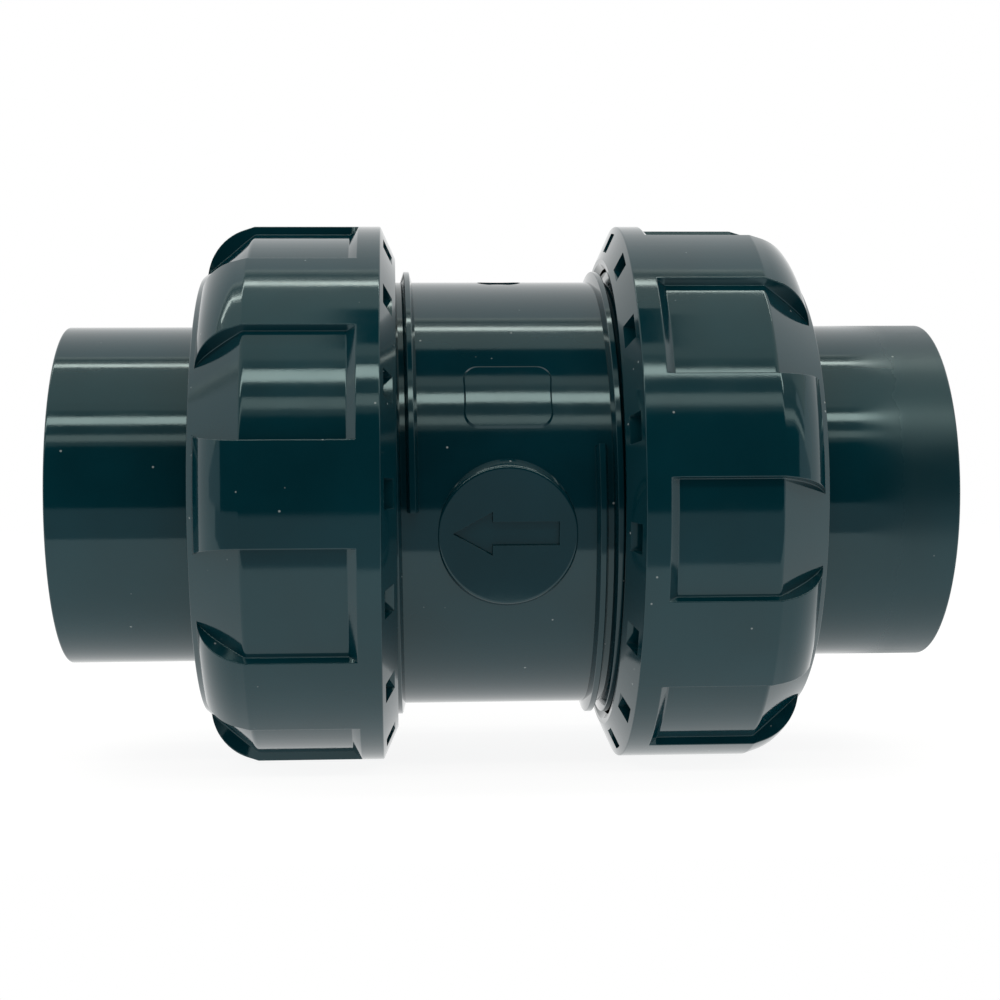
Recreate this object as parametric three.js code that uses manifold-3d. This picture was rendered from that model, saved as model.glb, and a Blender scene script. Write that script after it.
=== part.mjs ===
import * as THREE from "three";
import { mergeVertices } from "three/addons/utils/BufferGeometryUtils.js";
import Module from "manifold-3d";

// A ball check valve with two union ends, for solvent-welded pipe. Millimetres, +Z up.
// X is the pipe axis: water enters at +X and leaves at -X. The arrow on the body faces -Y.
// Each end is drawn once, reaching outwards along +X. The outlet end is that drawing turned half a turn
// about Z, so the screw threads of both ends stay right-handed.

// Waterway, ball and body. Each radius outside the waterway is the one inside it plus a wall or a step.
const WATERWAY_RADIUS = 20;
const BALL_OVER_WATERWAY = 4.5;
const BALL_TRAVEL = 10;
const FLOW_GAP = 6.5; // between the ball and the chamber wall
const SEAT_SHOULDER = 2;
const BODY_WALL = 6.8;
const BODY_LENGTH = 76;

// Seat, its carrier and the ribs that guide and stop the ball.
const SEAT_DEPTH = 17; // from mid-length to the shoulder that the seat rests on
const SEAT_THICKNESS = 4;
const SEAT_LINE_INSET = 0.5; // the ball touches the seat this much inside the waterway's radius
const OUTLET_CONE_LENGTH = 17;
const OUTLET_LIP = 1;
const RIB_COUNT = 4;
const RIB_THICKNESS = 4;
const RIB_FIRST_ANGLE = 45;
const RIB_START = 12; // from mid-length towards the inlet
const STOP_RADIUS = 12; // how near the axis the ribs reach behind the ball
const CARRIER_BORE_STEP = 1.5;
const DRIVE_SLOT_WIDTH = 6;
const DRIVE_SLOT_DEPTH = 4;

// Pipe sockets.
const PIPE_RADIUS = 24.13;
const SOCKET_MOUTH_GAP = 0.17; // radial, at the mouth
const SOCKET_BOTTOM_GRIP = 0.08; // radial, where the taper closes on the pipe
const SOCKET_DEPTH = 35;
const SOCKET_CHAMFER = 1;
const SOCKET_WALL = 7.2;
const FLANGE_THICKNESS = 7.7;
const FLANGE_INSIDE_THREAD = 1.3;
const TAIL_LENGTH = 41.9; // from flange face to end face
const TAIL_CHAMFER = 0.4;

// Union thread. The ridge's section is a trapezoid whose sizes are shares of the pitch.
const PITCH = 3;
const THREAD_FORM = { height: 2 / 3, base: 0.7, crest: 1 / 3 };
const THREAD_GAP = 0.5; // radial, at the crest of either ridge
const FLANK_GAP = 0.33; // along X, between the flanks of the two ridges
const THREAD_SETBACK = 8; // plain body left outside the last turn
const NUT_THREAD_TURNS = 3;
const INLET_THREAD = { reach: 22.4, angle: 169 };
const OUTLET_THREAD = { reach: 21.4, angle: -5 };

// Union nuts.
const NUT_LENGTH = 35.4;
const NUT_END_WALL = 8.4;
const NUT_WALL = 7.9; // at the lobes, over the bore
const MOUTH_FLARE = 1;
const MOUTH_RIM = 0.9;
const MOUTH_CHAMFER = 2.7; // axial
const COLLAR_WIDTH = 4;
const LOBE_COUNT = 8;
const LOBE_ANGLE = 20.7; // across the top of a lobe
const LOBE_DRAFT = 0.115; // how much half a lobe's width grows per unit of depth
const LOBE_SLOPE = 18; // of the back of a lobe, before its rounding
const LOBE_SLOPE_LENGTH = 2;
const LOBE_ROUNDING = 9.4;
const LOBE_END_SETBACK = 1;
const WINDOW_DEPTH = 1.5;
const WINDOW_DRAFT = 1.6;
const CONE_LENGTH = 9.6;
const CONE_DROP = 7.9;
const HUB_GAP = 0.5;
const POCKET_WIDTH = 5;
const POCKET_HEIGHT = 3.4; // radial
const POCKET_DEPTH = 3.4; // axial, from the mouth
const INLET_LOBE_PHASE = -12.7;
const OUTLET_LOBE_PHASE = -0.4;

// Seals.
const FACE_SEAL_SECTION = 2.8;
const FACE_GROOVE_WIDTH = 3.4;
const FACE_GROOVE_WALL = 1.9; // outside the groove
const CARRIER_SEAL_SECTION = 2.1;
const CARRIER_GROOVE_INSET = 5; // from the carrier's inner face
const CARRIER_GROOVE_WIDTH = 2.7;

// Marks on the body. Angles go up from the side that faces -Y.
const BOSS_RADIUS = 11.95;
const BOSS_DRAFT = 0.375;
const BOSS_RISE = 0.2;
const BOSS_ROOT = 4;
const BOSS_ANGLE = -10.9;
const ARROW_ANGLE = -10.5;
const BOSS_OFFSET = -0.4; // along the pipe, from the middle of the arrow's length
const ARROW_DEPTH = 0.8;
const ARROW = { tip: -9.85, shoulder: -3, tail: 8.4, headHalf: 3.85, shaftHalf: 2.1 };
const PANEL = { length: 15, height: 11.8, offset: -0.5, corner: 2.8, rise: 0.3, angle: 23.9 };
const DIMPLE = { radius: 4, depth: 0.5, angle: 80 };

// Clearances and facets.
const SEAT_GAP = 0.3; // between pieces that rest on each other
const GUIDE_GAP = 0.5; // between the ball and its ribs
const SUNK = 1; // how far a joined detail reaches into what carries it
const FACETS = 36;
const THREAD_FACETS = 24; // in one turn
const SEAL_FACETS = 30;
const SEAL_SECTION_FACETS = 6;

// Sizes that follow.
const ballRadius = WATERWAY_RADIUS + BALL_OVER_WATERWAY;
const chamberRadius = ballRadius + FLOW_GAP;
const boreRadius = chamberRadius + SEAT_SHOULDER;
const bodyRadius = boreRadius + BODY_WALL;
const crestRadius = bodyRadius + PITCH * THREAD_FORM.height;
const nutBore = crestRadius + THREAD_GAP;
const nutRadius = nutBore + NUT_WALL;
const nutCrest = bodyRadius + THREAD_GAP;
const bodyEnd = BODY_LENGTH / 2;
const flangeFace = bodyEnd + SEAT_GAP;
const flangeBack = flangeFace + FLANGE_THICKNESS;
const flangeRadius = nutCrest - FLANGE_INSIDE_THREAD;
const tailEnd = flangeFace + TAIL_LENGTH;
const socketMouth = PIPE_RADIUS + SOCKET_MOUTH_GAP;
const socketBottom = PIPE_RADIUS - SOCKET_BOTTOM_GRIP;
const hubRadius = socketMouth + SOCKET_WALL;
const nutShoulder = flangeBack + SEAT_GAP;
const nutEnd = nutShoulder + NUT_END_WALL;
const nutMouth = nutEnd - NUT_LENGTH;
const ribRoot = chamberRadius + SUNK;

// The seat's sealing cone touches the ball square on, at this radius.
const seatLineRadius = WATERWAY_RADIUS - SEAT_LINE_INSET;
const seatSlope = Math.acos(seatLineRadius / ballRadius);
const seatFace = SEAT_DEPTH + SEAT_GAP;
const seatBack = seatFace + SEAT_THICKNESS;
const seatLine = seatFace + SEAT_THICKNESS / 2;
const reachToSeat = ballRadius + SEAT_GAP - seatLineRadius * Math.cos(seatSlope);
const ballShut = seatLine - reachToSeat / Math.sin(seatSlope);
const ballOpen = ballShut - BALL_TRAVEL;

const wasm = await Module();
wasm.setup();

const radians = THREE.MathUtils.degToRad;

// Closed mesh to solid and back.
function solid(geometry) {
  const bare = geometry.index ? geometry.toNonIndexed() : geometry.clone();
  bare.deleteAttribute("normal");
  bare.deleteAttribute("uv");
  const merged = mergeVertices(bare, 1e-4);
  const corners = [];
  for (let i = 0; i < merged.index.count; i += 3) {
    const [a, b, c] = merged.index.array.slice(i, i + 3);
    if (a !== b && b !== c && c !== a) corners.push(a, b, c);
  }
  const triVerts = new Uint32Array(corners);
  const vertProperties = merged.attributes.position.array;
  return new wasm.Manifold(new wasm.Mesh({ numProp: 3, vertProperties, triVerts }));
}

function geometryOf(made) {
  const { vertProperties, triVerts } = made.getMesh();
  const geometry = new THREE.BufferGeometry();
  geometry.setAttribute("position", new THREE.BufferAttribute(vertProperties, 3));
  geometry.setIndex(new THREE.BufferAttribute(triVerts, 1));
  const faceted = geometry.toNonIndexed();
  faceted.computeVertexNormals();
  return faceted;
}

// A ring or plug about X. The outline is a closed list of [along X, radius], in either direction.
function revolve(outline, facets = FACETS) {
  const points = outline.map(([x, radius]) => new THREE.Vector2(radius, x));
  if (THREE.ShapeUtils.area(points) < 0) points.reverse();
  points.push(points[0].clone());
  const turned = new THREE.LatheGeometry(points, facets);
  turned.applyMatrix4(new THREE.Matrix4().set(0, 1, 0, 0, 0, 0, 1, 0, 1, 0, 0, 0, 0, 0, 0, 1));
  return turned;
}

// A flat shape drawn in Y and Z, extruded along X from one place to another.
function extrudeAlongX(shape, from, to) {
  const slab = new THREE.ExtrudeGeometry(shape, { depth: to - from, bevelEnabled: false });
  slab.applyMatrix4(new THREE.Matrix4().set(0, 0, 1, from, 1, 0, 0, 0, 0, 1, 0, 0, 0, 0, 0, 1));
  return slab;
}

// A turned copy: the angle goes from +Y towards +Z.
function turnAboutX(geometry, degrees) {
  return geometry.clone().applyMatrix4(new THREE.Matrix4().makeRotationX(radians(degrees)));
}

function evenly(count, make) {
  return Array.from({ length: count }, (_, i) => make((360 / count) * i));
}

// A screw ridge: a straight bar of the ridge's section, bent into a right-handed helix about X.
// Its section is a trapezoid between two radii, with the width at each.
function ridge(start, angle, turns, inner, outer) {
  const shape = new THREE.Shape();
  shape.moveTo(-inner.width / 2, inner.radius);
  shape.lineTo(inner.width / 2, inner.radius);
  shape.lineTo(outer.width / 2, outer.radius);
  shape.lineTo(-outer.width / 2, outer.radius);
  shape.closePath();
  const steps = Math.round(turns * THREAD_FACETS);
  const bar = new THREE.ExtrudeGeometry(shape, { depth: 1, steps, bevelEnabled: false });
  const place = bar.attributes.position;
  for (let i = 0; i < place.count; i += 1) {
    const turned = place.getZ(i) * turns;
    const around = radians(angle) + turned * 2 * Math.PI;
    const radius = place.getY(i);
    const x = start + place.getX(i) + turned * PITCH;
    place.setXYZ(i, x, radius * Math.cos(around), radius * Math.sin(around));
  }
  return bar;
}

// The body ridge's width at a radius. The nut's ridge fills the rest of the pitch, less a gap on each flank.
function ridgeWidth(radius) {
  const { height, base, crest } = THREAD_FORM;
  return PITCH * base - (radius - bodyRadius) * ((base - crest) / height);
}

// Where a body thread starts, and how many turns fit before its setback from the end.
function bodyThread({ reach, angle }) {
  const start = bodyEnd - reach;
  const turns = Math.floor(((reach - THREAD_SETBACK) / PITCH) * THREAD_FACETS) / THREAD_FACETS;
  const [root, crest] = [bodyRadius - SUNK, crestRadius].map((radius) => ({ radius, width: ridgeWidth(radius) }));
  return solid(ridge(start, angle, turns, root, crest));
}

// The nut's ridge runs in the middle of the body's groove, on the same helix half a pitch further out.
function nutThread({ reach, angle }) {
  const first = bodyEnd - reach + PITCH / 2;
  const fromMouth = nutMouth + MOUTH_FLARE + PITCH / 2;
  const start = first + PITCH * Math.ceil((fromMouth - first) / PITCH);
  const between = (radius) => PITCH - ridgeWidth(radius) - 2 * FLANK_GAP;
  const [crest, root] = [nutCrest, nutBore + SUNK].map((radius) => ({ radius, width: between(radius) }));
  return solid(ridge(start, angle, NUT_THREAD_TURNS, crest, root));
}

// A frame on the body's side: local Z points out at the given angle, local X stays along the pipe.
function sideFrame(angle, distance = 0, x = 0) {
  const out = new THREE.Vector3(0, -Math.cos(radians(angle)), Math.sin(radians(angle)));
  const along = new THREE.Vector3(1, 0, 0);
  const up = new THREE.Vector3().crossVectors(out, along);
  const place = new THREE.Matrix4().makeBasis(along, up, out);
  return place.setPosition(out.multiplyScalar(distance).setX(x));
}

function slabOnSide(shape, angle, low, high, x = 0) {
  const slab = new THREE.ExtrudeGeometry(shape, { depth: high - low, bevelEnabled: false, curveSegments: 4 });
  return solid(slab.applyMatrix4(sideFrame(angle, low, x)));
}

function discOnSide(radius, draft, angle, low, high, x = 0) {
  const disc = new THREE.CylinderGeometry(radius, radius + draft * (high - low), high - low, FACETS);
  disc.rotateX(Math.PI / 2);
  return solid(disc.applyMatrix4(sideFrame(angle, (low + high) / 2, x)));
}

function arrowShape() {
  const shape = new THREE.Shape();
  shape.moveTo(ARROW.tip, 0);
  shape.lineTo(ARROW.shoulder, -ARROW.headHalf);
  shape.lineTo(ARROW.shoulder, -ARROW.shaftHalf);
  shape.lineTo(ARROW.tail, -ARROW.shaftHalf);
  shape.lineTo(ARROW.tail, ARROW.shaftHalf);
  shape.lineTo(ARROW.shoulder, ARROW.shaftHalf);
  shape.lineTo(ARROW.shoulder, ARROW.headHalf);
  shape.closePath();
  return shape;
}

function roundedPanel({ length, height, corner }) {
  const [halfX, halfY] = [length / 2 - corner, height / 2 - corner];
  const shape = new THREE.Shape();
  shape.absarc(halfX, halfY, corner, 0, Math.PI / 2);
  shape.absarc(-halfX, halfY, corner, Math.PI / 2, Math.PI);
  shape.absarc(-halfX, -halfY, corner, Math.PI, Math.PI * 1.5);
  shape.absarc(halfX, -halfY, corner, Math.PI * 1.5, Math.PI * 2);
  return shape;
}

// One fin of the ball's cage: a straight guide beside the ball, then a hollow that stops it when it opens.
function cageRib(angle) {
  const guide = ballRadius + GUIDE_GAP;
  const sweep = Math.PI - Math.asin(STOP_RADIUS / guide);
  const back = OUTLET_LIP + SEAT_GAP - bodyEnd;
  const shape = new THREE.Shape();
  shape.moveTo(RIB_START, ribRoot);
  shape.lineTo(RIB_START, guide);
  shape.absarc(ballOpen, 0, guide, Math.PI / 2, sweep);
  shape.lineTo(back, STOP_RADIUS);
  shape.lineTo(back, ribRoot);
  shape.closePath();
  const options = { depth: RIB_THICKNESS, bevelEnabled: false, curveSegments: 6 };
  const fin = new THREE.ExtrudeGeometry(shape, options);
  fin.translate(0, 0, -RIB_THICKNESS / 2);
  return solid(turnAboutX(fin, angle));
}

function valveBody() {
  const grooveOut = bodyRadius - FACE_GROOVE_WALL;
  const grooveIn = grooveOut - FACE_GROOVE_WIDTH;
  const grooveFloor = bodyEnd - FACE_SEAL_SECTION + SEAT_GAP / 2;
  const groove = [
    [bodyEnd, grooveOut],
    [grooveFloor, grooveOut],
    [grooveFloor, grooveIn],
    [bodyEnd, grooveIn],
  ];
  const mirrored = groove.map(([x, radius]) => [-x, radius]).reverse();
  const shell = revolve([
    [-bodyEnd, bodyRadius],
    [bodyEnd, bodyRadius],
    ...groove,
    [bodyEnd, boreRadius],
    [SEAT_DEPTH, boreRadius],
    [SEAT_DEPTH, chamberRadius],
    [OUTLET_LIP + OUTLET_CONE_LENGTH - bodyEnd, chamberRadius],
    [OUTLET_LIP - bodyEnd, WATERWAY_RADIUS],
    [-bodyEnd, WATERWAY_RADIUS],
    ...mirrored,
  ]);
  const flat = bodyRadius + BOSS_RISE;
  const boss = discOnSide(BOSS_RADIUS, BOSS_DRAFT, BOSS_ANGLE, flat - BOSS_ROOT, flat, BOSS_OFFSET);
  const arrow = slabOnSide(arrowShape(), ARROW_ANGLE, flat - ARROW_DEPTH, flat + SUNK);
  const skin = solid(revolve([
    [-PANEL.length, bodyRadius - SUNK],
    [PANEL.length, bodyRadius - SUNK],
    [PANEL.length, bodyRadius + PANEL.rise],
    [-PANEL.length, bodyRadius + PANEL.rise],
  ]));
  const block = slabOnSide(roundedPanel(PANEL), PANEL.angle, chamberRadius, nutRadius, PANEL.offset);
  const dimple = discOnSide(DIMPLE.radius, 0, DIMPLE.angle, bodyRadius - DIMPLE.depth, nutRadius);
  let body = solid(shell).add(bodyThread(INLET_THREAD));
  const outletThread = bodyThread(OUTLET_THREAD).rotate([0, 0, 180]);
  body = body.add(outletThread).add(boss).add(skin.intersect(block));
  for (const rib of evenly(RIB_COUNT, (turn) => cageRib(RIB_FIRST_ANGLE + turn))) body = body.add(rib);
  return body.subtract(arrow).subtract(dimple);
}

// Slabs as wide as a lobe, narrowing outwards and reaching past the nut all round.
function lobeSlabs(phase) {
  const [near, far] = [nutBore / 2, nutRadius * 1.2];
  const top = nutRadius * Math.sin(radians(LOBE_ANGLE / 2));
  const halfWidth = (radius) => top + (nutRadius - radius) * LOBE_DRAFT;
  const shape = new THREE.Shape();
  shape.moveTo(near, -halfWidth(near));
  shape.lineTo(far, -halfWidth(far));
  shape.lineTo(far, halfWidth(far));
  shape.lineTo(near, halfWidth(near));
  shape.closePath();
  const slab = extrudeAlongX(shape, nutMouth, nutEnd + SUNK);
  return evenly(LOBE_COUNT, (turn) => solid(turnAboutX(slab, phase + turn)));
}

// The back of a lobe: a shallow slope, then an arc that turns to face along X.
function lobeBack(steps) {
  const slope = radians(LOBE_SLOPE);
  const end = nutEnd - LOBE_END_SETBACK;
  const slopeStart = end - LOBE_ROUNDING * (1 - Math.sin(slope)) - LOBE_SLOPE_LENGTH;
  const arcTop = nutRadius - LOBE_SLOPE_LENGTH * Math.tan(slope);
  const arc = Array.from({ length: steps + 1 }, (_, i) => {
    const angle = slope + (Math.PI / 2 - slope) * (i / steps);
    const drop = LOBE_ROUNDING * (Math.cos(slope) - Math.cos(angle));
    return [end - LOBE_ROUNDING * (1 - Math.sin(angle)), arcTop - drop];
  });
  return [[slopeStart, nutRadius], ...arc];
}

function unionNut(thread, phase) {
  const floor = nutRadius - WINDOW_DEPTH;
  const collar = nutMouth + MOUTH_CHAMFER;
  const coneStart = nutEnd - CONE_LENGTH;
  const hole = hubRadius + HUB_GAP;
  const rim = nutBore + MOUTH_FLARE;
  const shell = solid(revolve([
    [nutMouth, rim],
    [nutMouth, rim + MOUTH_RIM],
    [collar, nutRadius],
    [collar + COLLAR_WIDTH, nutRadius],
    [collar + COLLAR_WIDTH + WINDOW_DRAFT, floor],
    [coneStart, floor],
    [nutEnd, floor - CONE_DROP],
    [nutEnd, hole],
    [nutShoulder, hole],
    [nutShoulder, nutBore],
    [nutMouth + MOUTH_FLARE, nutBore],
  ]));
  const underside = (nutBore + floor) / 2;
  const lobeRing = solid(revolve([
    [collar + COLLAR_WIDTH / 2, underside],
    [collar + COLLAR_WIDTH / 2, nutRadius],
    ...lobeBack(4),
    [nutEnd - LOBE_END_SETBACK, floor - CONE_DROP - SUNK],
    [nutShoulder + SUNK, underside],
  ]));
  let nut = shell.add(nutThread(thread));
  for (const slab of lobeSlabs(phase)) nut = nut.add(lobeRing.intersect(slab));
  const pocketRadius = rim + MOUTH_RIM + (nutRadius - rim - MOUTH_RIM) / 2;
  const pocket = new THREE.BoxGeometry(2 * POCKET_DEPTH, POCKET_HEIGHT, POCKET_WIDTH);
  pocket.translate(nutMouth, pocketRadius, 0);
  for (const cut of evenly(2 * LOBE_COUNT, (turn) => solid(turnAboutX(pocket, phase + turn)))) {
    nut = nut.subtract(cut);
  }
  return nut;
}

function endConnector() {
  return solid(revolve([
    [flangeFace, WATERWAY_RADIUS],
    [flangeFace, flangeRadius],
    [flangeBack, flangeRadius],
    [flangeBack, hubRadius],
    [tailEnd - TAIL_CHAMFER, hubRadius],
    [tailEnd, hubRadius - TAIL_CHAMFER],
    [tailEnd, socketMouth + SOCKET_CHAMFER],
    [tailEnd - SOCKET_CHAMFER, socketMouth],
    [tailEnd - SOCKET_DEPTH, socketBottom],
    [tailEnd - SOCKET_DEPTH, WATERWAY_RADIUS],
  ]));
}

function seatRing() {
  const edge = (along) => [
    seatLine + along * Math.cos(seatSlope),
    seatLineRadius - along * Math.sin(seatSlope),
  ];
  const [inner, outer] = [edge(SEAT_THICKNESS * 0.45), edge(-SEAT_THICKNESS * 0.55)];
  const rim = chamberRadius - SEAT_SHOULDER;
  const dish = seatFace + SEAT_THICKNESS / 3;
  return solid(revolve([
    [seatBack, boreRadius - SEAT_GAP],
    [seatFace, boreRadius - SEAT_GAP],
    [seatFace, rim],
    [dish, rim - SEAT_SHOULDER / 2],
    [dish, outer[1] + SEAT_SHOULDER],
    [outer[0], outer[1] + SEAT_SHOULDER / 2],
    outer,
    inner,
    [seatBack, inner[1]],
  ]));
}

function seatCarrier() {
  const inner = seatBack + SEAT_GAP;
  const outer = bodyEnd - SEAT_GAP;
  const outside = boreRadius - SEAT_GAP;
  const groove = inner + CARRIER_GROOVE_INSET;
  const grooveFloor = boreRadius - CARRIER_SEAL_SECTION - SEAT_GAP * 2;
  const ring = solid(revolve([
    [inner, WATERWAY_RADIUS - CARRIER_BORE_STEP],
    [inner, outside],
    [groove, outside],
    [groove, grooveFloor],
    [groove + CARRIER_GROOVE_WIDTH, grooveFloor],
    [groove + CARRIER_GROOVE_WIDTH, outside],
    [outer, outside],
    [outer, WATERWAY_RADIUS],
  ]));
  const slot = new THREE.BoxGeometry(2 * DRIVE_SLOT_DEPTH, 2.5 * boreRadius, DRIVE_SLOT_WIDTH);
  return ring.subtract(solid(slot.translate(outer, 0, 0)));
}

function oRing(x, radius, section) {
  const ring = new THREE.TorusGeometry(radius, section / 2, SEAL_SECTION_FACETS, SEAL_FACETS);
  return solid(ring.rotateY(Math.PI / 2).translate(x, 0, 0));
}

function faceSeal() {
  const radius = bodyRadius - FACE_GROOVE_WALL - FACE_GROOVE_WIDTH / 2;
  return oRing(bodyEnd - FACE_SEAL_SECTION / 2 + SEAT_GAP / 2, radius, FACE_SEAL_SECTION - SEAT_GAP);
}

function carrierSeal() {
  const x = seatBack + SEAT_GAP + CARRIER_GROOVE_INSET + CARRIER_GROOVE_WIDTH / 2;
  const radius = boreRadius - CARRIER_SEAL_SECTION / 2 - SEAT_GAP;
  return oRing(x, radius, CARRIER_SEAL_SECTION);
}

function ball() {
  const sphere = new THREE.SphereGeometry(ballRadius, 24, 16);
  return solid(sphere.rotateZ(-Math.PI / 2).translate(ballShut, 0, 0));
}

const pvc = { color: 0x27302f, roughness: 0.32, metalness: 0 };
const ballPlastic = { color: 0x4a5052, roughness: 0.3, metalness: 0 };
const rubber = { color: 0x121212, roughness: 0.75, metalness: 0 };

function piece(name, made, finish) {
  const mesh = new THREE.Mesh(geometryOf(made), new THREE.MeshStandardMaterial(finish));
  mesh.name = name;
  return mesh;
}

const valve = new THREE.Group();
valve.add(piece("valve_body", valveBody(), pvc));
valve.add(piece("ball", ball(), ballPlastic));
valve.add(piece("seat_ring", seatRing(), rubber));
valve.add(piece("seat_carrier", seatCarrier(), pvc));
valve.add(piece("carrier_o_ring", carrierSeal(), rubber));

const inletEnd = new THREE.Group();
inletEnd.add(piece("inlet_face_o_ring", faceSeal(), rubber));
inletEnd.add(piece("inlet_end_connector", endConnector(), pvc));
inletEnd.add(piece("inlet_union_nut", unionNut(INLET_THREAD, INLET_LOBE_PHASE), pvc));

const outletEnd = new THREE.Group();
outletEnd.rotation.z = Math.PI;
outletEnd.add(piece("outlet_face_o_ring", faceSeal(), rubber));
outletEnd.add(piece("outlet_end_connector", endConnector(), pvc));
outletEnd.add(piece("outlet_union_nut", unionNut(OUTLET_THREAD, OUTLET_LOBE_PHASE), pvc));

valve.add(inletEnd, outletEnd);

export default valve;
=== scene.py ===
import math

import bmesh
import bpy
import numpy as np
from mathutils import Matrix, Vector


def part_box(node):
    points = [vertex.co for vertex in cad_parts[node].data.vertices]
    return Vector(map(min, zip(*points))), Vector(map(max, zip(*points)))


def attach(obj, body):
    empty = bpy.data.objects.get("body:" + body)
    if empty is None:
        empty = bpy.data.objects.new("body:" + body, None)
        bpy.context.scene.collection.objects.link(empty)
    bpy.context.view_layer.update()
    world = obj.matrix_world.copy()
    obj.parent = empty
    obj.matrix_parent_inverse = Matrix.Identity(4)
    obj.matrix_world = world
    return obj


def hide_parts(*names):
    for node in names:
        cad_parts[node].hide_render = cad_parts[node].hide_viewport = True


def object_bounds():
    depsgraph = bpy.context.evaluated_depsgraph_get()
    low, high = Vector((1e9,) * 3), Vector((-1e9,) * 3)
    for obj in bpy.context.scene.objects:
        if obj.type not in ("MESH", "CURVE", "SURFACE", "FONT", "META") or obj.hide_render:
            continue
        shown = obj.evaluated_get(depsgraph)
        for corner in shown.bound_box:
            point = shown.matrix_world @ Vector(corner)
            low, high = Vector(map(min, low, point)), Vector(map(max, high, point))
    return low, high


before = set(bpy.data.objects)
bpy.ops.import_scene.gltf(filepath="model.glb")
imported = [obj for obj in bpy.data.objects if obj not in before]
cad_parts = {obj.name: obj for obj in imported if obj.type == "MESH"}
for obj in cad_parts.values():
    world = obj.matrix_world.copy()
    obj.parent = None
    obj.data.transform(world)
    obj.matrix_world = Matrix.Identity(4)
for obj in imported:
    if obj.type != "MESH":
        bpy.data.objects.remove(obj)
cad_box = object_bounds()

# The valve lies along X. Sizes below are in millimetres and repeat the CAD source's, and most places along X
# come from the CAD boxes. Each end is made reaching outwards along +X, and the outlet's is then turned half a
# turn about Z. Distances inside materials, and from the floor on, are in metres.
MM = 0.001
BODY_R = 39.8
BODY_SKIN = BODY_R - 1  # where what stands on the body starts
BORE_R = 33.0
CHAMBER_R = 31.0
SEAT_STEP_X = 17.0  # where the bore for the seat meets the chamber
WATER_R = 20.0
NUT_R = 50.19
NUT_BORE = 42.3
NUT_HOLE = 32.0
NUT_COLLAR = 2.7  # how far the mouth's chamfer reaches along X
WINDOW_R = 48.69
WINDOW_START = 4.0  # from the collar to the window's sloping wall
WINDOW_SLOPE = 1.6
CONE_LENGTH = 9.6
CONE_END_R = 40.8
SHOULDER = 8.4  # thickness of the nut's end wall
POCKET_R = (45.5, 48.9)
POCKET_DEPTH = 3.4
POCKET_HALF_WIDTH = 2.5
HUB_R = 31.5
SOCKET_R = (24.05, 24.3)  # at the bottom and at the mouth
SOCKET_DEPTH = 35
FLANGE_R = 39.0
FLANGE_THICKNESS = 7.7
SEAL_R = 36.2
SEAL_SECTION = 2.5
CARRIER_SEAL_R = 31.65
CARRIER_SEAL_SECTION = 2.1
CARRIER_GROOVE = (5.0, 7.7)  # its two walls, along X from the carrier's inner face
SEAT_FIT_R = BORE_R - 0.3
CONTACT_R = 19.5  # where the seat meets the ball
BALL_R = 24.5
PITCH = 3.0
THREAD_CREST = 41.8
LOBES = 8
LOBE_DEGREES = 20.7
LOBE_DRAFT = 0.115  # half a lobe's growth in width per unit of depth
LOBE_SLOPE = math.radians(18)
LOBE_SLOPE_LENGTH = 2.0
LOBE_ROUNDING = 9.4
LOBE_END_SETBACK = 1.0
LOBE_PHASE = {"inlet": -12.7, "outlet": -0.4}
THREAD_START = {"inlet": (15.6, 169.0, 4.79), "outlet": (16.6, -5.0, 4.458)}  # x, degrees, turns
BOSS_DEGREES = -10.9
BOSS_X = -0.4
BOSS_R = 11.95
BOSS_FLAT = 40.0
ARROW_DEGREES = -10.5
PANEL_DEGREES = 24.3
PANEL_X = -0.1
PANEL_R = BODY_R + 0.3
DIMPLE_DEGREES = 80
RIBS = 4
RIB_HALF = 2.0
BALL_TRAVEL = 10.0

SHARP = {"plain": 35, "prism": 30, "nut": 50, "body": 32, "ball": 40, "ring": 60}  # degrees at an edge
ON_SURFACE = 0.03  # how near a vertex lies to the surface that it belongs to
THREAD_STEPS = 120  # per turn
WIDEST_COLUMN = 1.3  # degrees round a nut

HALF_TURN = Matrix.Rotation(math.pi, 4, "Z")


def edge_x(node):
    """Where a CAD node's box starts and ends along X."""
    low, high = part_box(node)
    return low.x / MM, high.x / MM


BODY_END = edge_x("valve_body")[1]
NUT_MOUTH, NUT_END = edge_x("inlet_union_nut")
FLANGE_FACE, TAIL_END = edge_x("inlet_end_connector")
SEAT_IN, SEAT_OUT = edge_x("seat_ring")
CARRIER_IN, CARRIER_OUT = edge_x("seat_carrier")
BALL_X = sum(edge_x("ball")) / 2
LOBE_ARC_X = NUT_END - LOBE_END_SETBACK - LOBE_ROUNDING
LOBE_SLOPE_X = LOBE_ARC_X + LOBE_ROUNDING * math.sin(LOBE_SLOPE) - LOBE_SLOPE_LENGTH


# ---------------------------------------------------------------- mesh making

def make_object(name, mesh, sharp=SHARP["plain"]):
    mesh.validate()
    work = bmesh.new()
    work.from_mesh(mesh)
    bmesh.ops.recalc_face_normals(work, faces=work.faces)
    work.to_mesh(mesh)
    work.free()
    mesh.shade_smooth()
    mesh.set_sharp_from_angle(angle=math.radians(sharp))
    made = bpy.data.objects.new(name, mesh)
    bpy.context.scene.collection.objects.link(made)
    return made


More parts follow.
